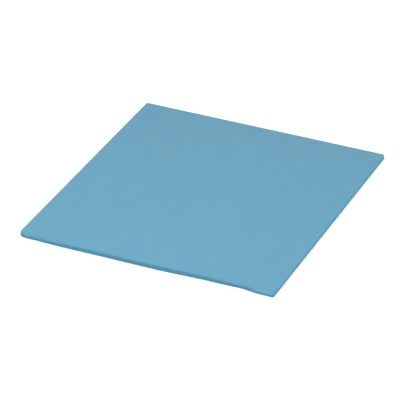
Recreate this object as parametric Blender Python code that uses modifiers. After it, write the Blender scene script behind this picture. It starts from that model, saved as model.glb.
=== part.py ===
# Thermal pad sheet: one square of soft silicone gap filler, cut from stock, lying flat.
# Metres, +Z up. The front edge runs along X. The origin is under the middle of the sheet,
# on the face that it lies on.

import math

import bmesh
import bpy

# Driving sizes of the sheet
PAD_LENGTH = 0.050  # along X
PAD_WIDTH = 0.050  # along Y, at the fullest point of the front cut
PAD_THICKNESS = 0.001

# The blade left three corners crisp. The front left one is rubbed rounder by handling.
CRISP_CORNER_RADIUS = 0.0003
WORN_CORNER_RADIUS = 0.0008

# Soft silicone draws in along a cut, so no rim is sharp.
RIM_RADIUS = 0.0002
RIM_SEGMENTS = 3

# The front edge was trimmed by hand. Each pair is a share of the length from the left
# end, and how far the cut lies inside the full width there. The cut runs smoothly
# between them, and the short step near the right end is where the blade was reset.
FRONT_CUT = (
    (0.00, 0.00011),
    (0.16, 0.0),
    (0.36, 0.00013),
    (0.50, 0.00021),
    (0.79, 0.00077),
    (0.88, 0.0009),
    (0.945, 0.00057),
    (1.00, 0.00058),
)
STEPS_PER_CUT = 5

CORNER_STEP_DEGREES = 15

PAD_BLUE = (0.165, 0.392, 0.545, 1.0)


def clear_scene():
    for obj in list(bpy.data.objects):
        bpy.data.objects.remove(obj, do_unlink=True)


def cut_inset(x):
    """How far inside the full width the front cut lies, at this place along X."""
    share = x / PAD_LENGTH + 0.5
    for (start, first), (end, last) in zip(FRONT_CUT, FRONT_CUT[1:]):
        if share <= end:
            t = max(0.0, (share - start) / (end - start))
            return first + (last - first) * t * t * (3 - 2 * t)
    return FRONT_CUT[-1][1]


def corner(centre_x, centre_y, radius, start_degrees):
    """A quarter turn about its centre, anticlockwise, both ends included."""
    steps = round(90 / CORNER_STEP_DEGREES)
    turns = [math.radians(start_degrees + 90 * i / steps) for i in range(steps + 1)]
    return [(centre_x + radius * math.cos(a), centre_y + radius * math.sin(a)) for a in turns]


def front_edge(left_x, right_x, y):
    """The straight points of the front edge, closer together where the cut bends."""
    xs = []
    for (start, _), (end, _) in zip(FRONT_CUT, FRONT_CUT[1:]):
        xs += [(start + (end - start) * i / STEPS_PER_CUT - 0.5) * PAD_LENGTH for i in range(STEPS_PER_CUT)]
    return [(x, y) for x in xs if left_x < x < right_x]


def sheet_outline():
    """The sheet seen from above, anticlockwise from its front left corner."""
    half_x, half_y = PAD_LENGTH / 2, PAD_WIDTH / 2
    crisp, worn = CRISP_CORNER_RADIUS, WORN_CORNER_RADIUS
    front = corner(-half_x + worn, -half_y + worn, worn, 180)
    front += front_edge(-half_x + worn, half_x - crisp, -half_y)
    front += corner(half_x - crisp, -half_y + crisp, crisp, 270)
    back = corner(half_x - crisp, half_y - crisp, crisp, 0)
    back += corner(-half_x + crisp, half_y - crisp, crisp, 90)
    return [(x, y + cut_inset(x)) for x, y in front] + back


def silicone():
    material = bpy.data.materials.new("blue_silicone")
    material.use_nodes = True
    shader = material.node_tree.nodes["Principled BSDF"]
    shader.inputs["Base Color"].default_value = PAD_BLUE
    shader.inputs["Roughness"].default_value = 0.6
    shader.inputs["Metallic"].default_value = 0.0
    shader.inputs["IOR"].default_value = 1.41
    return material


def flat_blank(collection):
    """The sheet as a flat outline, filled and extruded to its thickness."""
    points = sheet_outline()
    curve = bpy.data.curves.new("sheet_outline", "CURVE")
    curve.dimensions = "2D"
    curve.fill_mode = "BOTH"
    curve.extrude = PAD_THICKNESS / 2
    spline = curve.splines.new("POLY")
    spline.points.add(len(points) - 1)
    for place, (x, y) in zip(spline.points, points):
        place.co = (x, y, 0.0, 1.0)
    spline.use_cyclic_u = True
    blank = bpy.data.objects.new("sheet_outline", curve)
    collection.objects.link(blank)
    return blank


def as_welded_mesh(blank, name, collection):
    """A mesh of the blank, its caps welded to its walls and left as one face each."""
    bpy.context.view_layer.update()
    graph = bpy.context.evaluated_depsgraph_get()
    mesh = bpy.data.meshes.new_from_object(blank.evaluated_get(graph))
    mesh.name = name
    build = bmesh.new()
    build.from_mesh(mesh)
    bmesh.ops.remove_doubles(build, verts=build.verts, dist=1e-7)
    in_cap = [e for e in build.edges if all(abs(f.normal.z) > 0.99 for f in e.link_faces)]
    bmesh.ops.dissolve_edges(build, edges=in_cap, use_verts=False)
    bmesh.ops.recalc_face_normals(build, faces=build.faces)
    build.to_mesh(mesh)
    build.free()
    sheet = bpy.data.objects.new(name, mesh)
    sheet.matrix_world = blank.matrix_world
    collection.objects.link(sheet)
    bpy.data.objects.remove(blank, do_unlink=True)
    return sheet


def round_rims(sheet):
    """Rounds the top and bottom rims. The radius is limited by the wall and the corners."""
    bevel = sheet.modifiers.new("rims", "BEVEL")
    bevel.width = min(RIM_RADIUS, 0.45 * PAD_THICKNESS, 0.9 * CRISP_CORNER_RADIUS, 0.9 * WORN_CORNER_RADIUS)
    bevel.segments = RIM_SEGMENTS
    bevel.limit_method = "ANGLE"
    bevel.angle_limit = math.radians(60)
    bevel.use_clamp_overlap = False


def thermal_pad(collection):
    sheet = as_welded_mesh(flat_blank(collection), "thermal_pad", collection)
    sheet.location.z = PAD_THICKNESS / 2
    round_rims(sheet)
    sheet.data.materials.append(silicone())
    sheet.data.shade_smooth()
    sheet.data.set_sharp_from_angle(angle=math.radians(40))
    return sheet


clear_scene()
sheet_collection = bpy.data.collections.new("thermal_pad_sheet")
bpy.context.scene.collection.children.link(sheet_collection)
thermal_pad(sheet_collection)
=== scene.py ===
# Looks of the thermal pad sheet: a square of soft blue silicone lying on a pale floor.
# Metres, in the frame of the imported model.
import math

import bpy
from mathutils import Euler, Matrix, Vector


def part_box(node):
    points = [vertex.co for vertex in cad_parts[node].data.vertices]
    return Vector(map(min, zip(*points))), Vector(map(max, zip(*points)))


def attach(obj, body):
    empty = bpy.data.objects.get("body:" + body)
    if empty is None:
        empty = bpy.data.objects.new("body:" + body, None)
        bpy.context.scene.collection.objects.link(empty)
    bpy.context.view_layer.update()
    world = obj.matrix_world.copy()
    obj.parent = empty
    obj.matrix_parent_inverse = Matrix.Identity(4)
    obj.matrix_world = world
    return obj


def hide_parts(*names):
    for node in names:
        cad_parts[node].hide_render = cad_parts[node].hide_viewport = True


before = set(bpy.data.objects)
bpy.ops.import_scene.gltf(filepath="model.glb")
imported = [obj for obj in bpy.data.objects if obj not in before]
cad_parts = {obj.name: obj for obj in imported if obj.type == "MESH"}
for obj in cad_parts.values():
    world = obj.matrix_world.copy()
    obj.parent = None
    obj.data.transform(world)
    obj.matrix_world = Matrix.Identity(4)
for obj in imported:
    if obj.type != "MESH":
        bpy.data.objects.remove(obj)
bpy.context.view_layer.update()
print("frame loaded:", sorted(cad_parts))


# Small helpers

# the kinds of node that recur
number = "ShaderNodeMath"
vector = "ShaderNodeVectorMath"
split = "ShaderNodeSeparateXYZ"
join = "ShaderNodeCombineXYZ"
remap = "ShaderNodeMapRange"
mix = "ShaderNodeMix"
noise = "ShaderNodeTexNoise"
shiftPoints = "GeometryNodeSetPosition"

# and the vectors
ones = (1, 1, 1)
zeros = (0, 0, 0)
levelOnly = (1, 1, 0)  # keeps X and Y, and leaves out Z


def hexToLinear(code):
    # "#rrggbb" as a screen shows it, turned by the sRGB curve to what a shader takes
    shares = [int(code[i:i + 2], 16) / 255 for i in (1, 3, 5)]
    linear = [s / 12.92 if s <= 0.04045 else ((s + 0.055) / 1.055) ** 2.4 for s in shares]
    return (*linear, 1.0)


def addNode(tree, kind, links=None, **settings):
    # settings are the node's own properties, links fill its inputs or join them to others
    node = tree.nodes.new(kind)
    for name, value in settings.items():
        setattr(node, name, value)
    for socket, value in (links or {}).items():
        if isinstance(value, bpy.types.Node):
            value = value.outputs[0]
        if isinstance(value, bpy.types.NodeSocket):
            tree.links.new(value, node.inputs[socket])
        else:
            node.inputs[socket].default_value = value
    return node


# The camera stands where the photo was taken from

photoView = {
    "azimuth": 27.713,  # degrees round from square on to the front edge
    "elevation": 32.526,
    "roll": -2.584,
    "distance": 0.4345,
    "slide": (-0.000999, -0.000581),  # metres to the camera's own right and up
    "lens": 213.62,  # millimetres
    "sensor": 36,  # its width in millimetres
    "nearest": 0.01,  # metres from the camera, where it starts to see
}


def placeCamera(view):
    data = bpy.data.cameras.new("photoCamera")
    data.lens = view["lens"]
    data.sensor_width = view["sensor"]
    data.clip_start = view["nearest"]
    camera = bpy.data.objects.new("photoCamera", data)
    bpy.context.scene.collection.objects.link(camera)
    tilt = math.radians(90 - view["elevation"])
    turn = Euler((tilt, 0, math.radians(view["azimuth"]))).to_matrix().to_4x4()
    roll = Matrix.Rotation(math.radians(view["roll"]), 4, "Z")
    camera.matrix_world = turn @ roll @ Matrix.Translation((*view["slide"], view["distance"]))
    bpy.context.scene.camera = camera


placeCamera(photoView)
print("camera placed")


# Floor and light

studio = {
    "floorColour": "#fbfbfa",
    "floorWidth": 5.0,
    "skyColour": "#ffffff",
    "skyStrength": 0.50,
    # name, place in metres, width and height of its face in metres, watts
    "softboxes": [
        ("overheadSoftbox", (-0.005, -0.09, 0.13), (0.12, 0.12), 0.178),
        ("frontSoftbox", (-0.2, -1.3, 0.75), (1.0, 0.7), 6),
        ("backSoftbox", (-0.75, 1.35, 1.0), (1.4, 0.9), 8),
        ("rightSoftbox", (1.3, 0.3, 0.45), (0.9, 0.7), 17),
    ],
}


def plainFloor(look):
    # matt card: white, with no shine of its own
    material = bpy.data.materials.new("mattCard")
    material.use_nodes = True
    shader = material.node_tree.nodes["Principled BSDF"]
    shader.inputs["Base Color"].default_value = hexToLinear(look["floorColour"])
    shader.inputs["Roughness"].default_value = 1.0
    shader.inputs["Specular IOR Level"].default_value = 0.0
    reach = look["floorWidth"] / 2
    corners = [(-reach, -reach, 0), (reach, -reach, 0), (reach, reach, 0), (-reach, reach, 0)]
    mesh = bpy.data.meshes.new("floor")
    mesh.from_pydata(corners, [], [(0, 1, 2, 3)])
    mesh.materials.append(material)
    floor = bpy.data.objects.new("floor", mesh)
    bpy.context.scene.collection.objects.link(floor)


def softLight(look):
    world = bpy.data.worlds.new("studioAir")
    world.use_nodes = True
    sky = world.node_tree.nodes["Background"]
    sky.inputs["Color"].default_value = hexToLinear(look["skyColour"])
    sky.inputs["Strength"].default_value = look["skyStrength"]
    bpy.context.scene.world = world
    for name, place, (width, height), watts in look["softboxes"]:
        lamp = bpy.data.lights.new(name, "AREA")
        lamp.shape = "RECTANGLE"
        lamp.size = width
        lamp.size_y = height
        lamp.energy = watts
        box = bpy.data.objects.new(name, lamp)
        box.location = place
        box.rotation_mode = "QUATERNION"
        box.rotation_quaternion = (-Vector(place)).to_track_quat("-Z", "Y")  # faces the sheet
        bpy.context.scene.collection.objects.link(box)
    # the photo's tones are plain, with no film curve
    bpy.context.scene.view_settings.view_transform = "Standard"


plainFloor(studio)
softLight(studio)
print("floor and light set")


# Silicone

# Silicone elastomer filled with ceramic powder and cast against a release film. The powder
# makes it opaque and evenly coloured, and the film leaves a matt skin with a soft sheen.
filmCast = {
    "colour": "#427fa0",
    "cloudColour": "#54899a",
    "cloudWidth": 0.003,
    "roughness": (0.50, 0.60),
    "grainWidth": 0.00022,  # powder of 0.04 mm, drawn as coarse as a render can show
    "grainDepth": 0.00003,
    "grainStretch": (1.0, 1.0, 1.0),
    "grainShare": 0.4,  # of the mottling, which is clouds for the rest
}

# The same silicone where the blade passed: torn a little by it, so rougher and marked
# across the thickness. Its deeper colour is painted shade, which darkens the steep sides.
bladeCutAndShade = {
    # painted shade: deeper than the cast colour, so that the sides look shaded
    "colour": "#35718f",
    "cloudColour": "#3b748c",
    "cloudWidth": 0.003,
    "roughness": (0.62, 0.75),
    "grainWidth": 0.00035,  # one drag mark of the blade
    "grainDepth": 0.00006,
    "grainStretch": (1.0, 1.0, 0.2),  # below 1 along Z, so the marks run up the side
    "grainShare": 0.4,
}

# Painted light: the cast skin is painted lighter and greyer where it bends over a rim,
# standing in for light that the tilted rims lack. The pairs are angles in radians from level, where
# a finish starts and where it is whole.
rims = {
    "paintedRimLightColour": "#4b849d",
    "paintedRimLightTilt": (0.05, 0.70),
    # where the cut finish and its painted shade start and where they are whole
    "cutAndShadeTilt": (1.05, 1.25),
}


def finish(tree, place, look):
    # the colour, the roughness and the height in metres of one way of making the surface
    clouds = addNode(tree, noise, {
        "Vector": place, "Scale": 1 / look["cloudWidth"], "Detail": 3.0, "Roughness": 0.6,
    })
    stretched = addNode(tree, "ShaderNodeMapping", {"Vector": place, "Scale": look["grainStretch"]})
    grain = addNode(tree, noise, {
        "Vector": stretched, "Scale": 1 / look["grainWidth"], "Detail": 2.0, "Roughness": 0.5,
    })
    mottled = addNode(tree, mix, {"Factor": look["grainShare"], "A": clouds, "B": grain})
    colour = addNode(tree, mix, {
        "Factor": mottled, "A": hexToLinear(look["colour"]), "B": hexToLinear(look["cloudColour"]),
    }, data_type="RGBA")
    low, high = look["roughness"]
    rough = addNode(tree, remap, {"Value": grain, "To Min": low, "To Max": high})
    depth = look["grainDepth"]
    height = addNode(tree, number, {0: grain, 1: depth, 2: -depth / 2}, operation="MULTIPLY_ADD")
    return colour.outputs["Result"], rough, height


def siliconeSkin(cast, cut, look):
    # cast on the faces, cut on the sides with its deeper colour as painted shade, and painted
    # light, a lighter and greyer colour, where one turns into the other
    material = bpy.data.materials.new("filledSilicone")
    material.use_nodes = True
    tree = material.node_tree
    shader = tree.nodes["Principled BSDF"]
    shader.inputs["IOR"].default_value = 1.41  # silicone rubber
    place = addNode(tree, "ShaderNodeTexCoord").outputs["Object"]
    tilt = addNode(tree, "ShaderNodeAttribute", attribute_name="tilt").outputs["Fac"]
    paintedRimLight, cutAndShadeMask = [
        addNode(tree, remap, {"Value": tilt, "From Min": look[name][0], "From Max": look[name][1]})
        for name in ("paintedRimLightTilt", "cutAndShadeTilt")
    ]
    castColour, castRough, castHeight = finish(tree, place, cast)
    cutColourWithShade, cutRough, cutHeight = finish(tree, place, cut)
    # painted light: rims that bend away from level are painted lighter and greyer
    colour = addNode(tree, mix, {
        "Factor": paintedRimLight, "A": castColour, "B": hexToLinear(look["paintedRimLightColour"]),
    }, data_type="RGBA").outputs["Result"]
    # painted shade: the deeper cut colour on the steep sides
    colour = addNode(tree, mix, {"Factor": cutAndShadeMask, "A": colour, "B": cutColourWithShade}, data_type="RGBA")
    rough = addNode(tree, mix, {"Factor": cutAndShadeMask, "A": castRough, "B": cutRough})
    height = addNode(tree, mix, {"Factor": cutAndShadeMask, "A": castHeight, "B": cutHeight})
    bump = addNode(tree, "ShaderNodeBump", {"Height": height, "Distance": 1.0})
    tree.links.new(colour.outputs["Result"], shader.inputs["Base Color"])
    tree.links.new(rough.outputs["Result"], shader.inputs["Roughness"])
    tree.links.new(bump.outputs["Normal"], shader.inputs["Normal"])
    return material


# The sheet

boxLow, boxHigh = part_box("thermal_pad")

sheet = {
    "size": boxHigh - boxLow,
    "rows": 161,  # grid points along the length and the width
    "sideRows": 21,  # and up the cut sides
    "crowding": 1.9,  # above 1 the rows stand closer together at the rims
    "crispCorner": 0.0003,  # radius of three corners, seen from above
    "wornCorner": 0.0008,  # and of the front left one
    "topRim": 0.00025,  # radius of the upper rim, but for the front edge
    "footRim": 0.00012,  # radius of the lower rim
    "wornFootRim": 0.00018,  # and at the front left corner
    "wornReach": 0.0025,  # how far from that corner it is rubbed round
    "hollow": 0.00002,  # the cut sides draw in by this much half way up
    "dragDepth": 0.000012,  # and by up to this much more in the marks of the blade
    "dragWidth": 0.0016,  # from one mark to the next
    "dragStretch": Vector((1.0, 1.0, 0.3)),  # below 1 along Z, so the marks run up the side
    "plainReach": 0.0015,  # nearer than this to a corner, the drawing in fades out
    "unevenness": 0.000016,  # how much thinner than its full size the sheet is in places
    "unevenWidth": 0.010,  # from one such place to the next
    "cutReach": 0.008,  # how far from the front edge the grid follows the cut
    "seed": 7.0,  # of the marks and of the thickness
}

# The front edge, as pairs of a share of the length from the left and a value there:
# how far the hand cut lies inside the full width, how far its upper rim was pressed round,
# both in metres, and the roundness of that rim.
frontCut = [
    (0.00, 0.00006), (0.16, 0.0), (0.36, 0.00013), (0.50, 0.00021), (0.79, 0.00077), (0.88, 0.0009),
    (0.945, 0.00057), (1.00, 0.00058),
]
frontRim = [
    (0.00, 0.0003), (0.04, 0.0007), (0.10, 0.00066), (0.24, 0.00032), (0.45, 0.0003),
    (0.60, 0.00018), (0.72, 0.00028), (0.80, 0.0004), (0.87, 0.00066), (0.91, 0.0006),
    (0.95, 0.0008), (0.98, 0.0008), (1.00, 0.0006),
]
frontRoundness = [(0.00, 1.8), (0.12, 2.0), (0.90, 2.0), (0.96, 1.7), (1.00, 1.45)]
quarterCircle = 2.0  # the roundness of every other rim, and 1 would be a slope
cornerBlend = 3.0  # where two rims meet, the higher this is the more the deeper one counts


def softSteps(tree, share, knots):
    # an eased step from each knot to the next
    total = knots[0][1]
    for (start, first), (end, last) in zip(knots, knots[1:]):
        step = addNode(tree, remap, {
            "Value": share, "From Min": start, "From Max": end,
            "To Min": 0.0, "To Max": last - first,
        }, interpolation_type="SMOOTHSTEP")
        total = addNode(tree, number, {0: step, 1: total}, operation="ADD")
    return total


def sizeShare(tree, given, place, axis):
    # a point's place along an axis, as a share of the sheet's size
    at = addNode(tree, split, {0: place}).outputs[axis]
    size = addNode(tree, split, {0: given["size"]}).outputs[axis]
    return addNode(tree, number, {0: at, 1: size}, operation="DIVIDE")


def alongFront(tree, given, place):
    # how far along the front edge a point is, from 0 at its left end to 1
    share = sizeShare(tree, given, place, "X")
    return addNode(tree, number, {0: share, 1: 0.5}, operation="ADD")


def frontHalf(tree, place):
    # 1 in the half of the sheet at the front edge
    at = addNode(tree, split, {0: place}).outputs["Y"]
    return addNode(tree, number, {0: at, 1: 0.0}, operation="LESS_THAN")


def wornQuarter(tree, place):
    # 1 in the front left quarter, which holds the worn corner
    at = addNode(tree, split, {0: place}).outputs["X"]
    isLeft = addNode(tree, number, {0: at, 1: 0.0}, operation="LESS_THAN")
    return addNode(tree, number, {0: isLeft, 1: frontHalf(tree, place)}, operation="MULTIPLY")


def insetFrom(tree, place, half):
    # how far a point is from the nearer edge, along X and along Y
    away = addNode(tree, vector, {0: place}, operation="ABSOLUTE")
    inset = addNode(tree, vector, {0: half, 1: away}, operation="SUBTRACT")
    return addNode(tree, vector, {0: inset, 1: levelOnly}, operation="MULTIPLY")


def cornerDistance(tree, place, half):
    # how far a point is from the nearest corner, seen from above
    inset = insetFrom(tree, place, half)
    return addNode(tree, vector, {0: inset}, operation="LENGTH").outputs["Value"]


def crowdRows(tree, block, given, place, half):
    # moves the grid's rows outwards along X and Y, so that the rims get more of them
    across = addNode(tree, vector, {0: place, 1: half}, operation="DIVIDE")
    side = addNode(tree, vector, {0: across}, operation="SIGN")
    away = addNode(tree, vector, {0: across}, operation="ABSOLUTE")
    left = addNode(tree, vector, {0: ones, 1: away}, operation="SUBTRACT")
    power = addNode(tree, join, {"X": given["crowding"], "Y": given["crowding"], "Z": 1.0})
    left = addNode(tree, vector, {0: left, 1: power}, operation="POWER")
    away = addNode(tree, vector, {0: ones, 1: left}, operation="SUBTRACT")
    away = addNode(tree, vector, {0: away, 1: half}, operation="MULTIPLY")
    moved = addNode(tree, vector, {0: away, 1: side}, operation="MULTIPLY")
    return addNode(tree, shiftPoints, {"Geometry": block, "Position": moved})


def rimDrop(tree, inset, radii, roundness):
    # how far a face bends away at each edge, blended where two meet
    left = addNode(tree, vector, {0: radii, 1: inset}, operation="SUBTRACT")
    left = addNode(tree, vector, {0: left, 1: zeros}, operation="MAXIMUM")
    left = addNode(tree, vector, {0: left, 1: radii}, operation="DIVIDE")
    left = addNode(tree, vector, {0: left, 1: roundness}, operation="POWER")
    left = addNode(tree, vector, {0: ones, 1: left}, operation="SUBTRACT")
    power = addNode(tree, vector, {0: ones, 1: roundness}, operation="DIVIDE")
    left = addNode(tree, vector, {0: left, 1: power}, operation="POWER")
    left = addNode(tree, vector, {0: ones, 1: left}, operation="SUBTRACT")
    drops = addNode(tree, vector, {0: left, 1: radii}, operation="MULTIPLY")
    raised = addNode(tree, vector, {0: drops, 1: (cornerBlend,) * 3}, operation="POWER")
    total = addNode(tree, vector, {0: raised, 1: levelOnly}, operation="DOT_PRODUCT")
    return addNode(tree, number, {0: total.outputs["Value"], 1: 1 / cornerBlend}, operation="POWER")


def roundRims(tree, block, given, place, half):
    # bends both faces to the sides: the upper one most at the front, where it was pressed,
    # and the lower one more at the worn corner
    inset = insetFrom(tree, place, half)
    isFront = frontHalf(tree, place)
    share = alongFront(tree, given, place)
    pressed = softSteps(tree, share, frontRim)
    front = addNode(tree, mix, {"Factor": isFront, "A": given["topRim"], "B": pressed})
    slope = softSteps(tree, share, frontRoundness)
    slope = addNode(tree, mix, {"Factor": isFront, "A": quarterCircle, "B": slope})
    upper = addNode(tree, join, {"X": given["topRim"], "Y": front})
    drop = rimDrop(tree, inset, upper, addNode(tree, join, {"X": quarterCircle, "Y": slope}))

    rubbed = addNode(tree, remap, {
        "Value": cornerDistance(tree, place, half), "From Min": 0.0, "From Max": given["wornReach"],
        "To Min": wornQuarter(tree, place), "To Max": 0.0,
    }, interpolation_type="SMOOTHSTEP")
    foot = addNode(tree, mix, {"Factor": rubbed, "A": given["footRim"], "B": given["wornFootRim"]})
    lower = addNode(tree, join, {"X": foot, "Y": foot})
    circle = addNode(tree, join, {"X": quarterCircle, "Y": quarterCircle})
    lift = rimDrop(tree, inset, lower, circle)

    risen = sizeShare(tree, given, place, "Z")
    above = addNode(tree, number, {0: risen, 1: 0.5}, operation="ADD")
    under = addNode(tree, number, {0: 0.5, 1: risen}, operation="SUBTRACT")
    drop = addNode(tree, number, {0: drop, 1: above}, operation="MULTIPLY")
    lift = addNode(tree, number, {0: lift, 1: under}, operation="MULTIPLY")
    shift = addNode(tree, number, {0: lift, 1: drop}, operation="SUBTRACT")
    shift = addNode(tree, join, {"Z": shift})
    return addNode(tree, shiftPoints, {"Geometry": block, "Offset": shift})


def roundCorners(tree, block, given, place, half):
    # seen from above: takes each square round a corner's centre to an arc
    radius = addNode(tree, mix, {
        "Factor": wornQuarter(tree, place), "A": given["crispCorner"], "B": given["wornCorner"],
    })
    radii = addNode(tree, join, {"X": radius, "Y": radius})
    into = addNode(tree, vector, {0: radii, 1: insetFrom(tree, place, half)}, operation="SUBTRACT")
    into = addNode(tree, vector, {0: into, 1: zeros}, operation="MAXIMUM")
    parts = addNode(tree, split, {0: into}).outputs
    longest = addNode(tree, number, {0: parts["X"], 1: parts["Y"]}, operation="MAXIMUM")
    way = addNode(tree, vector, {0: into}, operation="NORMALIZE")
    onArc = addNode(tree, vector, {0: way, "Scale": longest}, operation="SCALE")
    shift = addNode(tree, vector, {0: onArc, 1: into}, operation="SUBTRACT")
    side = addNode(tree, vector, {0: place}, operation="SIGN")
    shift = addNode(tree, vector, {0: shift, 1: side}, operation="MULTIPLY")
    return addNode(tree, shiftPoints, {"Geometry": block, "Offset": shift})


def cutSides(tree, block, given, place, half):
    # draws the cut sides in half way up, and makes them as uneven as a blade leaves them
    normal = addNode(tree, "GeometryNodeInputNormal")
    upright = addNode(tree, split, {0: normal}).outputs["Z"]
    upright = addNode(tree, number, {0: upright}, operation="ABSOLUTE")
    steep = addNode(tree, number, {0: 1.0, 1: upright}, operation="SUBTRACT")
    height = addNode(tree, vector, {0: place, 1: half}, operation="DIVIDE")
    height = addNode(tree, split, {0: height}).outputs["Z"]
    square = addNode(tree, number, {0: height, 1: height}, operation="MULTIPLY")
    belly = addNode(tree, number, {0: 1.0, 1: square}, operation="SUBTRACT")
    hollow = addNode(tree, number, {0: belly, 1: given["hollow"]}, operation="MULTIPLY")
    across = addNode(tree, vector, {0: place, 1: given["dragStretch"]}, operation="MULTIPLY")
    fine = addNode(tree, number, {0: 1.0, 1: given["dragWidth"]}, operation="DIVIDE")
    drag = addNode(tree, noise, {
        "Vector": across, "W": given["seed"], "Scale": fine, "Detail": 2.0,
    }, noise_dimensions="4D")
    drag = addNode(tree, number, {0: drag, 1: given["dragDepth"]}, operation="MULTIPLY")
    depth = addNode(tree, number, {0: hollow, 1: drag}, operation="ADD")
    depth = addNode(tree, number, {0: depth, 1: steep}, operation="MULTIPLY")
    inwards = addNode(tree, remap, {
        "Value": cornerDistance(tree, place, half), "From Min": 0.0, "From Max": given["plainReach"],
        "To Min": 0.0, "To Max": -1.0,
    }, interpolation_type="SMOOTHSTEP")
    depth = addNode(tree, number, {0: depth, 1: inwards}, operation="MULTIPLY")
    level = addNode(tree, vector, {0: normal, 1: levelOnly}, operation="MULTIPLY")
    shift = addNode(tree, vector, {0: level, "Scale": depth}, operation="SCALE")
    return addNode(tree, shiftPoints, {"Geometry": block, "Offset": shift})


def trimFront(tree, block, given, place, half):
    # shifts the front edge to the line of the hand cut
    at = addNode(tree, split, {0: place}).outputs["Y"]
    deep = addNode(tree, split, {0: half}).outputs["Y"]
    behind = addNode(tree, number, {0: at, 1: deep}, operation="ADD")
    follows = addNode(tree, remap, {
        "Value": behind, "From Min": 0.0, "From Max": given["cutReach"],
        "To Min": 1.0, "To Max": 0.0,
    }, interpolation_type="SMOOTHSTEP")
    inside = softSteps(tree, alongFront(tree, given, place), frontCut)
    inside = addNode(tree, number, {0: inside, 1: follows}, operation="MULTIPLY")
    shift = addNode(tree, join, {"Y": inside})
    return addNode(tree, shiftPoints, {"Geometry": block, "Offset": shift})


def unevenFace(tree, block, given, place, half):
    # stands the sheet on its lower face, and lets its thickness vary a little
    deep = addNode(tree, split, {0: half}).outputs["Z"]
    up = addNode(tree, join, {"Z": deep})
    block = addNode(tree, shiftPoints, {"Geometry": block, "Offset": up})
    at = addNode(tree, split, {0: place}).outputs
    flat = addNode(tree, join, {"X": at["X"], "Y": at["Y"]})
    wide = addNode(tree, number, {0: 1.0, 1: given["unevenWidth"]}, operation="DIVIDE")
    waves = addNode(tree, noise, {
        "Vector": flat, "W": given["seed"], "Scale": wide, "Detail": 1.0,
    }, noise_dimensions="4D")
    risen = sizeShare(tree, given, place, "Z")
    drop = addNode(tree, number, {0: waves, 1: risen}, operation="MULTIPLY")
    drop = addNode(tree, number, {0: drop, 1: given["unevenness"]}, operation="MULTIPLY")
    drop = addNode(tree, number, {0: drop, 1: -1.0}, operation="MULTIPLY")
    shift = addNode(tree, join, {"Z": drop})
    return addNode(tree, shiftPoints, {"Geometry": block, "Offset": shift})


def keepTilt(tree, block):
    # the angle of the surface from level, which tells the finishes apart
    normal = addNode(tree, "GeometryNodeInputNormal")
    level = addNode(tree, split, {0: normal}).outputs["Z"]
    level = addNode(tree, number, {0: level}, operation="ABSOLUTE")
    tilt = addNode(tree, number, {0: level}, operation="ARCCOSINE")
    return addNode(tree, "GeometryNodeStoreNamedAttribute", {
        "Geometry": block, "Name": "tilt", "Value": tilt,
    }, data_type="FLOAT", domain="POINT")


def sheetTree(sizes):
    tree = bpy.data.node_groups.new("cutSheet", "GeometryNodeTree")
    tree.interface.new_socket("Geometry", in_out="OUTPUT", socket_type="NodeSocketGeometry")
    kinds = {Vector: "NodeSocketVector", float: "NodeSocketFloat", int: "NodeSocketInt"}
    for name, value in sizes.items():
        tree.interface.new_socket(name, in_out="INPUT", socket_type=kinds[type(value)])
    tree.interface.new_socket("skin", in_out="INPUT", socket_type="NodeSocketMaterial")
    given = addNode(tree, "NodeGroupInput").outputs
    place = addNode(tree, "GeometryNodeInputPosition")
    half = addNode(tree, vector, {0: given["size"], "Scale": 0.5}, operation="SCALE")
    block = addNode(tree, "GeometryNodeMeshCube", {
        "Size": given["size"], "Vertices X": given["rows"], "Vertices Y": given["rows"],
        "Vertices Z": given["sideRows"],
    })
    for step in (crowdRows, roundRims, roundCorners, cutSides, trimFront, unevenFace):
        block = step(tree, block, given, place, half)
    block = addNode(tree, "GeometryNodeSetShadeSmooth", {"Geometry": keepTilt(tree, block)})
    block = addNode(tree, "GeometryNodeRealizeInstances", {"Geometry": block})
    block = addNode(tree, "GeometryNodeSetMaterial", {"Geometry": block, "Material": given["skin"]})
    addNode(tree, "NodeGroupOutput", {"Geometry": block})
    return tree


def padSheet(sizes, skin):
    grown = bpy.data.objects.new("padSheet", bpy.data.meshes.new("padSheet"))
    bpy.context.scene.collection.objects.link(grown)
    nodes = grown.modifiers.new("cutSheet", "NODES")
    nodes.node_group = sheetTree(sizes)
    values = {**sizes, "skin": skin}
    for socket in nodes.node_group.interface.items_tree:
        if socket.in_out == "INPUT":
            nodes[socket.identifier] = values[socket.name]
    graph = bpy.context.evaluated_depsgraph_get()
    mesh = bpy.data.meshes.new_from_object(grown.evaluated_get(graph))
    grown.modifiers.clear()
    grown.data = mesh
    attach(grown, "root")
    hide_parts("thermal_pad")
    return grown


made = padSheet(sheet, siliconeSkin(filmCast, bladeCutAndShade, rims))
print("sheet made:", len(made.data.polygons), "faces")
